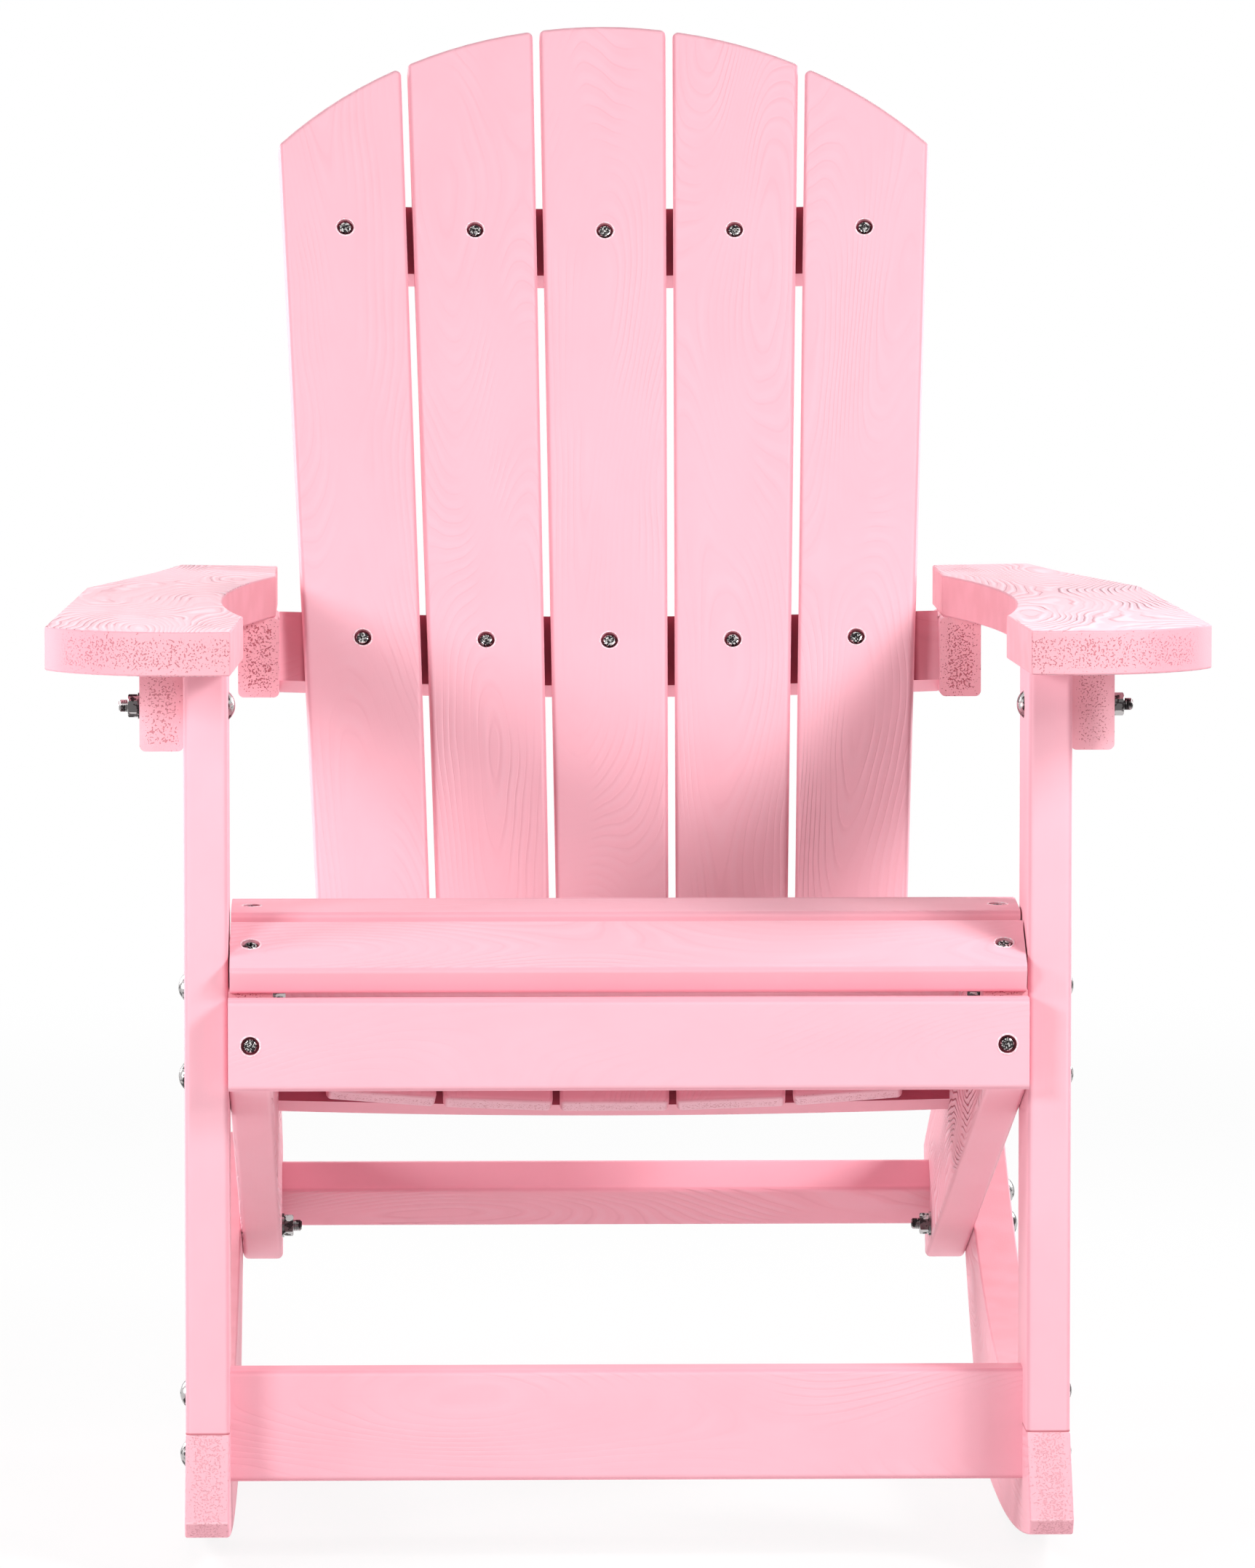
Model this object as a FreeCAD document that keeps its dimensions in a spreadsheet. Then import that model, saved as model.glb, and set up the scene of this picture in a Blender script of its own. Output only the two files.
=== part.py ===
import FreeCAD, Part
import math
import os
import re
import Sketcher

# Rocking Adirondack chair of moulded plastic lumber, in millimetres.
# Work frame: X to the sitter's left seen from the front, Y from the front to the rear, Z up.
# Outlines are drawn from the front plane of the legs (Y = 0) and the floor (Z = 0).
# Every piece is then moved along Y, so that the origin lies under the middle of the chair.

SIZES = {
    # Stock
    "board": 28.5,
    "slat_thickness": 20.0,
    "rail_thickness": 22.0,
    "edge_round": 4.0,
    "cut_edge_round": 1.5,
    # Legs and arms
    "seat_width": 516.4,
    "leg_depth": 90.0,
    "arm_top": 615.0,
    "arm_overhang": 88.3,
    "arm_reach": 77.0,
    "arm_outer_corner": 63.0,
    "arm_inner_corner": 3.7,
    "arm_nose_inset": 4.7,
    "arm_palm_inset": 3.2,
    "arm_waist_inset": 9.2,
    "arm_waist_back": 80.0,
    "arm_notch_out": 6.8,
    "arm_notch_back": 270.0,
    "arm_heel_out": 2.3,
    "arm_heel_back": 520.0,
    "arm_end_back": 642.0,
    "arm_end_slant": 18.0,
    "arm_end_out": 14.3,
    "arm_hip_out": 31.3,
    "arm_hip_back": 565.0,
    "arm_elbow_out": 73.3,
    "arm_elbow_back": 390.0,
    "bracket_height": 55.0,
    "front_bracket_back": 20.0,
    "front_bracket_length": 70.0,
    "rear_bracket_back": 505.0,
    "rear_bracket_length": 95.0,
    # Rockers
    "rocker_height": 89.0,
    "rocker_rest_back": 329.0,
    "rocker_flat": 44.0,
    "rocker_front_radius": 2140.0,
    "rocker_rear_radius": 480.0,
    "rocker_top_flat": 215.0,
    "rocker_top_radius": 1011.0,
    "rocker_toe": 39.0,
    "rocker_bevel": 9.0,
    "rocker_tail_back": 690.0,
    # Seat
    "stringer_front_bottom": 313.0,
    "stringer_front_top": 377.0,
    "stringer_slope": 16.2,
    "stringer_length": 675.0,
    "stringer_end_height": 80.0,
    "seat_slat_width": 62.0,
    "seat_gap": 7.0,
    "seat_overhang": 3.8,
    "seat_end_clearance": 1.0,
    "front_slat_tilt": 25.2,
    "second_slat_tilt": 3.0,
    "third_slat_tilt": -10.0,
    "fourth_slat_tilt": -20.0,
    "rear_slat_tilt": -23.0,
    "apron_height": 59.5,
    "apron_bottom": 314.5,
    # Back
    "recline": 26.0,
    "back_foot_back": 366.0,
    "back_foot_up": 263.0,
    "back_length": 816.0,
    "back_side_clearance": 33.85,
    "slat_spread": 15.5,
    "slat_gap": 4.8,
    "back_curve_radius": 2306.0,
    "crown_radius": 322.0,
    "foot_arc_radius": 1686.0,
    "rail_height": 52.0,
    "top_rail_drop": 187.0,
    "middle_rail_up": 316.0,
    "lower_rail_up": 6.0,
    "top_rail_length": 430.0,
    # Stretchers
    "front_stretcher_back": 38.0,
    "front_stretcher_height": 73.0,
    "rear_stretcher_back": 636.0,
    "rear_stretcher_up": 168.6,
    "rear_stretcher_width": 42.0,
    "rear_stretcher_tilt": -46.0,
    # Screws
    "screw_shank": 4.2,
    "screw_head": 9.2,
    "screw_head_height": 2.8,
    "screw_well": 12.0,
    "screw_well_depth": 3.2,
    "screw_recess": 5.6,
    "screw_recess_width": 1.3,
    "screw_recess_depth": 1.8,
    "screw_length": 33.0,
    "long_screw_length": 58.0,
    "arm_screw_length": 70.0,
    "drill_clearance": 0.1,
    # Bolts
    "bolt_shank": 7.8,
    "bolt_head": 18.5,
    "bolt_head_height": 4.5,
    "bolt_neck": 8.0,
    "bolt_neck_depth": 4.0,
    "bolt_tip": 1.2,
    "bolt_stud": 14.0,
    "nut_width": 13.0,
    "nut_height": 6.5,
    "washer_size": 17.0,
    "washer_thickness": 1.6,
    "barrel_size": 12.0,
    "barrel_length": 20.0,
    "barrel_inset": 30.0,
    "bolt_spacing": 40.0,
    "arm_bolt_back": 50.0,
    "upper_stringer_bolt_up": 376.0,
    "lower_stringer_bolt_up": 318.0,
    "rocker_bolt_back": 602.0,
    "rocker_bolt_up": 150.0,
}

REACH = 2000.0
SLAT_PLACES = (-2, -1, 0, 1, 2)
SEAT_TILTS = ("front_slat_tilt", "second_slat_tilt", "third_slat_tilt",
              "fourth_slat_tilt", "rear_slat_tilt", "rear_slat_tilt")
SIDES = {"left": -1, "right": 1}

doc = FreeCAD.newDocument("rocking_adirondack_chair")
sheet = doc.addObject("Spreadsheet::Sheet", "Sizes")
for row, (alias, length) in enumerate(SIZES.items(), start=1):
    sheet.set("A%d" % row, alias)
    sheet.set("B%d" % row, str(length))
    sheet.setAlias("B%d" % row, alias)
doc.recompute()

nodes = []


def bound(text):
    """The expression with every size name pointed at the sheet."""
    def point(match):
        word = match.group(0)
        return "Sizes." + word if word in SIZES else word
    return re.sub(r"[a-z][a-z_]*", point, text)


def value(text):
    """The number that an expression of size names gives."""
    return float(sheet.evalExpression(bound(text)))


def vector(x, y, z):
    return FreeCAD.Vector(value(x), value(y), value(z))


# Sizes that follow from the driving ones, as expressions

ARM_UNDER = "(arm_top - board)"
INNER = "(seat_width / 2)"
OUTER = "(seat_width / 2 + board)"
STRINGER_INNER = "(seat_width / 2 - board)"
BACK_REAR = ("(back_foot_back + (back_length - edge_round) * sin(recline)"
             " + (slat_thickness - edge_round) * cos(recline) + edge_round)")
SHIFT = "((arm_reach - %s) / 2)" % BACK_REAR
SLAT_FOOT = "((2 * (%s - back_side_clearance) + slat_gap) / 5 - slat_gap)" % STRINGER_INNER
SLAT_PITCH = "(%s + slat_gap)" % SLAT_FOOT
FAN_LENGTH = "(%s * back_length / slat_spread)" % SLAT_PITCH
TOP_RAIL_UP = "(back_length - top_rail_drop)"
FRONT_STRETCHER_MIDDLE = "(front_stretcher_back + board / 2)"


def plane_of(body, role):
    return [feature for feature in body.Origin.OriginFeatures if feature.Role == role][0]


def sketch_on(body, role, name, lift="0"):
    sketch = body.newObject("Sketcher::SketchObject", name)
    sketch.AttachmentSupport = [(plane_of(body, role), "")]
    sketch.MapMode = "FlatFace"
    sketch.setExpression("AttachmentOffset.Base.z", bound(lift))
    return sketch


def pin(sketch, geometry, position, x, y):
    """Hold one point of a sketch at two size expressions."""
    for kind, text in (("DistanceX", x), ("DistanceY", y)):
        rule = Sketcher.Constraint(kind, -1, 1, geometry, position, value(text))
        index = sketch.addConstraint(rule)
        sketch.setExpression("Constraints[%d]" % index, bound(text))


def outline(sketch, corners):
    """A closed outline. A corner (x, y) ends a line, and (x, y, via_x, via_y) ends an arc."""
    ends = []
    first = sketch.GeometryCount
    for index, corner in enumerate(corners):
        before = corners[index - 1]
        start = vector(before[0], before[1], "0")
        end = vector(corner[0], corner[1], "0")
        if len(corner) == 2:
            geometry = sketch.addGeometry(Part.LineSegment(start, end), False)
            ends.append((geometry, 1, 2))
            continue
        via = vector(corner[2], corner[3], "0")
        geometry = sketch.addGeometry(Part.Arc(start, via, end), False)
        forward = sketch.getPoint(geometry, 1).distanceToPoint(start) < 1e-4
        ends.append((geometry, 1, 2) if forward else (geometry, 2, 1))
    for index, (geometry, start, end) in enumerate(ends):
        following = ends[(index + 1) % len(ends)]
        sketch.addConstraint(Sketcher.Constraint("Coincident", geometry, end,
                                                 following[0], following[1]))
        pin(sketch, geometry, end, corners[index][0], corners[index][1])
    for index, corner in enumerate(corners):
        if len(corner) == 4:
            mark = sketch.addGeometry(Part.Point(vector(corner[2], corner[3], "0")), True)
            sketch.addConstraint(Sketcher.Constraint("PointOnObject", mark, 1, first + index))
            pin(sketch, mark, 1, corner[2], corner[3])


def circle(sketch, x, y, diameter):
    round_hole = Part.Circle(vector(x, y, "0"), FreeCAD.Vector(0, 0, 1), value(diameter) / 2)
    geometry = sketch.addGeometry(round_hole, False)
    pin(sketch, geometry, 3, x, y)
    index = sketch.addConstraint(Sketcher.Constraint("Diameter", geometry, value(diameter)))
    sketch.setExpression("Constraints[%d]" % index, bound(diameter))


def pad(body, sketch, length, middle=False, backwards=False):
    feature = body.newObject("PartDesign::Pad", sketch.Name + "_pad")
    feature.Profile = sketch
    feature.setExpression("Length", bound(length))
    feature.SideType = "Symmetric" if middle else "One side"
    feature.Reversed = backwards
    return feature


def round_edges(body, radius, wanted):
    """Fillet the straight and curved edges that a test of the edge picks."""
    base = body.Tip
    base.recompute(True)
    names = ["Edge%d" % (index + 1) for index, edge in enumerate(base.Shape.Edges) if wanted(edge)]
    feature = body.newObject("PartDesign::Fillet", body.Name + "_round")
    feature.Base = (base, names)
    feature.setExpression("Radius", bound(radius))
    return feature


def along(axis):
    """A test for straight edges that run along one axis of the body."""
    def wanted(edge):
        if not isinstance(edge.Curve, Part.Line):
            return False
        return abs(abs(edge.Curve.Direction.dot(axis)) - 1) < 1e-6
    return wanted


def square_to(axis):
    """A test for edges that lie in a plane square to one axis."""
    def wanted(edge):
        places = [point.dot(axis) for point in edge.discretize(5)]
        return max(places) - min(places) < 1e-6
    return wanted


def every_edge(edge):
    return True


X_AXIS = FreeCAD.Vector(1, 0, 0)
Y_AXIS = FreeCAD.Vector(0, 1, 0)
Z_AXIS = FreeCAD.Vector(0, 0, 1)


def place(thing, x="0", y="0", z="0"):
    """Bind a piece's place to the sheet, with the shift along Y that all pieces share."""
    for letter, text in (("x", x), ("y", "%s + %s" % (y, SHIFT)), ("z", z)):
        thing.setExpression("Placement.Base." + letter, bound(text))


def turn(thing, axis, angle):
    thing.Placement = FreeCAD.Placement(FreeCAD.Vector(), FreeCAD.Rotation(axis, value(angle)))
    thing.setExpression("Placement.Rotation.Angle", bound(angle))


def new_body(name):
    return doc.addObject("PartDesign::Body", name)


def keep(thing, label):
    """Make a finished solid one of the chair's pieces."""
    thing.Label = label
    nodes.append(thing)
    return thing


def drilled(blank, label, wells):
    """The blank with the wells of its fasteners cut out of it."""
    tool = doc.addObject("Part::Feature", label + "_wells")
    blank.recompute(True)
    reach = blank.Shape.BoundBox
    near = [well for well in wells if well.BoundBox.intersect(reach)]
    tool.Shape = Part.makeCompound(near)
    cut = doc.addObject("Part::Cut", label + "_drilled")
    cut.Base = blank
    cut.Tool = tool
    return keep(cut, label)


# Frames of the back slats. The slats lie on a cone whose axis is in front of the back, so
# that each is the middle slat turned about that axis, and the back is hollow to the sitter.

def middle_slat_frame():
    """X across, Y to the rear through the slat, Z up along its front face."""
    foot = vector("0", "back_foot_back + " + SHIFT, "back_foot_up")
    return FreeCAD.Placement(foot, FreeCAD.Rotation(X_AXIS, -value("recline")))


def cone_angle():
    return math.atan2(value("back_curve_radius"), value(FAN_LENGTH))


def slat_turn():
    """The turn from one slat to the next about the cone's axis."""
    radius = value(FAN_LENGTH) * math.sin(cone_angle())
    return math.asin(value(SLAT_PITCH) / radius)


def slat_frame(position):
    frame = middle_slat_frame()
    apex = frame.multVec(FreeCAD.Vector(0, 0, -value(FAN_LENGTH)))
    tilt = cone_angle()
    axis = frame.Rotation.multVec(FreeCAD.Vector(0, -math.sin(tilt), math.cos(tilt)))
    angle = math.degrees(-position * slat_turn())
    spin = FreeCAD.Placement(FreeCAD.Vector(), FreeCAD.Rotation(axis, angle), apex)
    return spin.multiply(frame)


def rail_crossing(position, rail_up):
    """How far up a slat its crossing with a rail's middle line lies."""
    sweep = 1 - math.cos(position * slat_turn())
    height = value(FAN_LENGTH) + value(rail_up) + value("rail_height") / 2
    return height / (1 - math.sin(cone_angle()) ** 2 * sweep) - value(FAN_LENGTH)


# Fastener blanks, with the seat of the head at Z = 0 and the shank down

def screw(name, length):
    body = new_body(name)
    profile = sketch_on(body, "XZ_Plane", name + "_profile")
    outline(profile, [
        ("0", "screw_head_height"),
        ("0", "-" + length),
        ("screw_shank / 2", "-%s + screw_shank" % length),
        ("screw_shank / 2", "0"),
        ("screw_head / 2", "0"),
        ("screw_head / 2", "screw_head_height * 0.35"),
        ("screw_head * 0.33", "screw_head_height",
         "screw_head * 0.45", "screw_head_height * 0.8"),
    ])
    spun = body.newObject("PartDesign::Revolution", name + "_spun")
    spun.Profile = profile
    spun.ReferenceAxis = (profile, ["V_Axis"])
    spun.Angle = 360
    cross = sketch_on(body, "XY_Plane", name + "_cross", "screw_head_height")
    arm, half = "(screw_recess / 2)", "(screw_recess_width / 2)"
    outline(cross, [
        (arm, "-" + half), (arm, half), (half, half), (half, arm), ("-" + half, arm),
        ("-" + half, half), ("-" + arm, half), ("-" + arm, "-" + half),
        ("-" + half, "-" + half), ("-" + half, "-" + arm), (half, "-" + arm), (half, "-" + half),
    ])
    recess = body.newObject("PartDesign::Pocket", name + "_recess")
    recess.Profile = cross
    recess.setExpression("Length", bound("screw_recess_depth"))
    return body


def bolt(name, length):
    body = new_body(name)
    dome = "(bolt_head ^ 2 / 8 / bolt_head_height + bolt_head_height / 2)"
    shoulder = "bolt_head_height - %s + sqrt(%s ^ 2 - bolt_head ^ 2 / 16)" % (dome, dome)
    profile = sketch_on(body, "XZ_Plane", name + "_profile")
    outline(profile, [
        ("0", "bolt_head_height"),
        ("0", "-" + length),
        ("bolt_shank / 2 - bolt_tip", "-" + length),
        ("bolt_shank / 2", "-%s + bolt_tip" % length),
        ("bolt_shank / 2", "0"),
        ("bolt_head / 2", "0"),
        ("0", "bolt_head_height", "bolt_head / 4", shoulder),
    ][1:])
    spun = body.newObject("PartDesign::Revolution", name + "_spun")
    spun.Profile = profile
    spun.ReferenceAxis = (profile, ["V_Axis"])
    spun.Angle = 360
    neck = sketch_on(body, "XY_Plane", name + "_neck")
    half = "bolt_neck / 2"
    outline(neck, [(half, "-" + half), (half, half), ("-" + half, half), ("-" + half, "-" + half)])
    pad(body, neck, "bolt_neck_depth", backwards=True)
    return body


def nut():
    body = new_body("hex_nut")
    flat = sketch_on(body, "XY_Plane", "nut_hexagon")
    across = "(nut_width / cos(30) / 2)"
    outline(flat, [("%s * cos(%d)" % (across, angle), "%s * sin(%d)" % (across, angle))
                   for angle in range(0, 360, 60)])
    circle(flat, "0", "0", "bolt_shank + 2 * drill_clearance")
    pad(body, flat, "nut_height")
    bevel = sketch_on(body, "XZ_Plane", "nut_bevel")
    drop = "nut_width * 0.06"
    outline(bevel, [("nut_width / 2", "nut_height"), ("nut_width * 0.6", "nut_height"),
                    ("nut_width * 0.6", "nut_height - " + drop)])
    outline(bevel, [("nut_width / 2", "0"), ("nut_width * 0.6", "0"), ("nut_width * 0.6", drop)])
    groove = body.newObject("PartDesign::Groove", "nut_bevels")
    groove.Profile = bevel
    groove.ReferenceAxis = (bevel, ["V_Axis"])
    groove.Angle = 360
    return body


def washer():
    body = new_body("flat_washer")
    ring = sketch_on(body, "XY_Plane", "washer_ring")
    circle(ring, "0", "0", "washer_size")
    circle(ring, "0", "0", "bolt_shank + 4 * drill_clearance")
    pad(body, ring, "washer_thickness")
    return body


def barrel():
    body = new_body("barrel_nut")
    disc = sketch_on(body, "XZ_Plane", "barrel_disc")
    circle(disc, "0", "0", "barrel_size")
    pad(body, disc, "barrel_length", middle=True)
    thread = sketch_on(body, "XY_Plane", "barrel_thread", "barrel_size")
    circle(thread, "0", "0", "bolt_shank + 2 * drill_clearance")
    hole = body.newObject("PartDesign::Pocket", "barrel_hole")
    hole.Profile = thread
    hole.setExpression("Length", bound("2 * barrel_size"))
    return body


def screw_well(length):
    """The hole that a screw goes in: its head's well above Z = 0 and its shank's bore below."""
    bore = value("screw_shank / 2 + drill_clearance")
    shank = Part.makeCylinder(bore, value(length) + 1, FreeCAD.Vector(), -Z_AXIS)
    head = Part.makeCylinder(value("screw_well / 2"), value("screw_well_depth") + 30)
    return shank.fuse(head)


def bolt_well(length):
    """The hole that a carriage bolt goes in, square under its head."""
    bore = value("bolt_shank / 2 + drill_clearance")
    shank = Part.makeCylinder(bore, value(length) + 1, FreeCAD.Vector(), -Z_AXIS)
    wide = value("bolt_neck + 2 * drill_clearance")
    deep = value("bolt_neck_depth + drill_clearance")
    corner = FreeCAD.Vector(-wide / 2, -wide / 2, -deep)
    return shank.fuse(Part.makeBox(wide, wide, deep, corner))


def barrel_well():
    """The cross hole of a barrel nut, open to the rear."""
    bore = value("barrel_size / 2 + drill_clearance")
    return Part.makeCylinder(bore, 100, vector("0", "-barrel_length / 2", "0"), Y_AXIS)


def facing(direction, x, y, z, roll=0):
    """A place with its Z axis along a direction, given by size expressions."""
    spin = FreeCAD.Rotation(Z_AXIS, direction)
    if roll:
        spin = spin.multiply(FreeCAD.Rotation(Z_AXIS, roll))
    return FreeCAD.Placement(vector(x, "%s + %s" % (y, SHIFT), z), spin)


def sideways(side, x, y, z):
    """A place with its Z axis out along X on one side and its Y axis still to the rear."""
    out = FreeCAD.Rotation(Y_AXIS, 90 * side)
    return FreeCAD.Placement(vector("%d * (%s)" % (side, x), "%s + %s" % (y, SHIFT), z), out)


def placed(shape, places):
    return [shape.transformed(spot.toMatrix(), True) for spot in places]


def group(label, blank, places):
    """Identical fasteners as one node of separate solids."""
    feature = doc.addObject("Part::Feature", label)
    blank.recompute(True)
    feature.Shape = Part.makeCompound(placed(blank.Shape, places))
    return keep(feature, label)


# Where the fasteners go

def slat_screw_places(rail_up):
    spots = []
    for position in SLAT_PLACES:
        local = FreeCAD.Vector(0, value("screw_well_depth"), rail_crossing(position, rail_up))
        front = FreeCAD.Placement(local, FreeCAD.Rotation(Z_AXIS, FreeCAD.Vector(0, -1, 0)))
        spots.append(slat_frame(position).multiply(front))
    return spots


def seat_facets():
    """Start point and tilt of each flat of the stringers' top edge, as expressions."""
    pitch = "(seat_slat_width + seat_gap)"
    y, z = "0", "stringer_front_top"
    facets = []
    for index, tilt in enumerate(SEAT_TILTS):
        run = pitch
        if index == 0:
            run = "(seat_slat_width + seat_gap / 2 - seat_overhang)"
        facets.append((y, z, tilt))
        y = "%s + %s * cos(%s)" % (y, run, tilt)
        z = "%s + %s * sin(%s)" % (z, run, tilt)
    facets.append((y, z, None))
    return facets


FACETS = seat_facets()


def seat_slat_start(index):
    """How far along its facet a seat slat's front corner lies."""
    return "-seat_overhang" if index == 0 else "seat_gap / 2"


def seat_screw_places():
    spots = []
    for index, (y, z, tilt) in enumerate(FACETS[:-1]):
        middle = "(%s + seat_slat_width / 2)" % seat_slat_start(index)
        lift = "(slat_thickness - screw_well_depth)"
        at_y = "%s + %s * cos(%s) - %s * sin(%s)" % (y, middle, tilt, lift, tilt)
        at_z = "%s + %s * sin(%s) + %s * cos(%s)" % (z, middle, tilt, lift, tilt)
        angle = math.radians(value(tilt))
        up = FreeCAD.Vector(0, -math.sin(angle), math.cos(angle))
        for side in SIDES.values():
            x = "%d * (%s - board / 2)" % (side, INNER)
            spots.append(facing(up, x, at_y, at_z))
    return spots


def apron_screw_places():
    middle = "(apron_bottom + apron_height / 2)"
    front = FreeCAD.Vector(0, -1, 0)
    return [facing(front, "%d * (%s - board / 2)" % (side, INNER),
                   "-slat_thickness + screw_well_depth", middle) for side in SIDES.values()]


def arm_screw_places():
    z = "%s - bracket_height + screw_well_depth" % ARM_UNDER
    spots = []
    for side in SIDES.values():
        for across, back, length in (
                ("(%s + board / 2)" % OUTER, "front_bracket_back", "front_bracket_length"),
                ("(%s - board / 2)" % INNER, "rear_bracket_back", "rear_bracket_length")):
            for share in (0.2, 0.8):
                y = "%s + %s * %s" % (back, length, share)
                spots.append(facing(-Z_AXIS, "%d * %s" % (side, across), y, z))
    return spots


def rail_end_screw_places(rail_up):
    """Two screws through the outer board into each end of a rail, along its tall side."""
    frame = middle_slat_frame()
    radius = value("%s * back_curve_radius / %s" % (
        "(%s + %s + rail_height / 2)" % (FAN_LENGTH, rail_up), FAN_LENGTH))
    half = value(STRINGER_INNER)
    bulge = radius - math.sqrt(radius ** 2 - half ** 2)
    depth = value("slat_thickness + rail_thickness / 2") - bulge
    spots = []
    for side in SIDES.values():
        for share in (0.25, 0.75):
            up = value("%s + rail_height * %s" % (rail_up, share))
            spot = frame.multVec(FreeCAD.Vector(0, depth, up))
            spot.x = side * value("%s - screw_well_depth" % INNER)
            spots.append(FreeCAD.Placement(spot, FreeCAD.Rotation(Z_AXIS, X_AXIS * side)))
    return spots


def arm_bolt_places():
    """Heads on the inner faces of the legs, nuts on the outer faces of the front brackets."""
    z = "%s - bracket_height / 2" % ARM_UNDER
    return [sideways(side, "-" + INNER, "arm_bolt_back", z) for side in (1, -1)]


def outer_bolt_places(spots):
    return [sideways(side, OUTER, y, z) for side in SIDES.values() for y, z in spots]


STRINGER_BOLTS = [("leg_depth / 2", "upper_stringer_bolt_up"),
                  ("leg_depth / 2", "lower_stringer_bolt_up")]
ROCKER_BOLTS = [("rocker_bolt_back", "rocker_bolt_up")]
FRONT_STRETCHER_BOLTS = [(FRONT_STRETCHER_MIDDLE, "rocker_height + bolt_spacing / 2"),
                         (FRONT_STRETCHER_MIDDLE, "rocker_height - bolt_spacing / 2")]
REAR_STRETCHER_BOLTS = [("rear_stretcher_back", "rear_stretcher_up")]

THROUGH_LENGTH = "(2 * board + bolt_stud)"
FRONT_STRETCHER_LENGTH = "(board + barrel_inset + bolt_shank)"
REAR_STRETCHER_LENGTH = "(2 * board + barrel_inset + bolt_shank)"


def nut_places(bolts, lift):
    """Places against the far side of two boards, facing away from the bolt's head."""
    drop = FreeCAD.Vector(0, 0, -value("2 * board + " + lift))
    flip = FreeCAD.Rotation(X_AXIS, 180)
    return [spot.multiply(FreeCAD.Placement(drop, flip)) for spot in bolts]


def barrel_places(bolts, boards):
    drop = FreeCAD.Vector(0, 0, -value("%d * board + barrel_inset" % boards))
    return [spot.multiply(FreeCAD.Placement(drop, FreeCAD.Rotation())) for spot in bolts]


SCREWS = {
    "back_screws_top": ("screw_length", slat_screw_places(TOP_RAIL_UP)),
    "back_screws_middle": ("screw_length", slat_screw_places("middle_rail_up")),
    "back_screws_lower": ("screw_length", slat_screw_places("lower_rail_up")),
    "seat_screws": ("screw_length", seat_screw_places()),
    "apron_screws": ("screw_length", apron_screw_places()),
    "arm_screws": ("arm_screw_length", arm_screw_places()),
    "middle_rail_screws": ("long_screw_length", rail_end_screw_places("middle_rail_up")),
    "lower_rail_screws": ("long_screw_length", rail_end_screw_places("lower_rail_up")),
}
BOLTS = {
    "arm_bolts": (THROUGH_LENGTH, arm_bolt_places()),
    "stringer_bolts": (THROUGH_LENGTH, outer_bolt_places(STRINGER_BOLTS)),
    "rocker_bolts": (THROUGH_LENGTH, outer_bolt_places(ROCKER_BOLTS)),
    "front_stretcher_bolts": (FRONT_STRETCHER_LENGTH, outer_bolt_places(FRONT_STRETCHER_BOLTS)),
    "rear_stretcher_bolts": (REAR_STRETCHER_LENGTH, outer_bolt_places(REAR_STRETCHER_BOLTS)),
}
BARRELS = (barrel_places(BOLTS["front_stretcher_bolts"][1], 1)
           + barrel_places(BOLTS["rear_stretcher_bolts"][1], 2))


def all_wells():
    wells = []
    for length, spots in SCREWS.values():
        wells += placed(screw_well(length), spots)
    for length, spots in BOLTS.values():
        wells += placed(bolt_well(length), spots)
    return wells


WELLS = all_wells()


# Boards

def side_board(label, corners, left_face):
    """A board cut to a side outline (Y, Z), with its smaller-X face at an expression."""
    body = new_body(label + "_blank")
    profile = sketch_on(body, "YZ_Plane", label + "_outline")
    outline(profile, corners)
    pad(body, profile, "board")
    place(body, left_face)
    return body


def left_face(side, inner):
    """The smaller X of a board whose inner face is at an expression from the middle."""
    return "-(%s + board)" % inner if side < 0 else inner


def cross_board(label, y, z, depth, height, half_length, tilt="0"):
    """A straight board across the chair about a middle line, with its long edges rounded."""
    body = new_body(label + "_blank")
    profile = sketch_on(body, "YZ_Plane", label + "_section")
    rear, top = depth + " / 2", height + " / 2"
    outline(profile, [("-" + rear, "-" + top), (rear, "-" + top),
                      (rear, top), ("-" + rear, top)])
    pad(body, profile, "2 * (%s)" % half_length, middle=True)
    turn(body, X_AXIS, tilt)
    place(body, "0", y, z)
    round_edges(body, "edge_round", along(X_AXIS))
    return body


def legs():
    for name, side in SIDES.items():
        label = "front_leg_" + name
        body = side_board(label, [("0", "rocker_height"), ("leg_depth", "rocker_height"),
                                  ("leg_depth", ARM_UNDER), ("0", ARM_UNDER)],
                          left_face(side, INNER))
        round_edges(body, "edge_round", along(Z_AXIS))
        drilled(body, label, WELLS)


def arc_point(middle, low, radius, back):
    """A point of an arc that curls up from its lowest point, at a distance back."""
    rise = "%s + %s - sqrt(%s ^ 2 - (%s - %s) ^ 2)" % (low, radius, radius, back, middle)
    return (back, rise)


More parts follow.
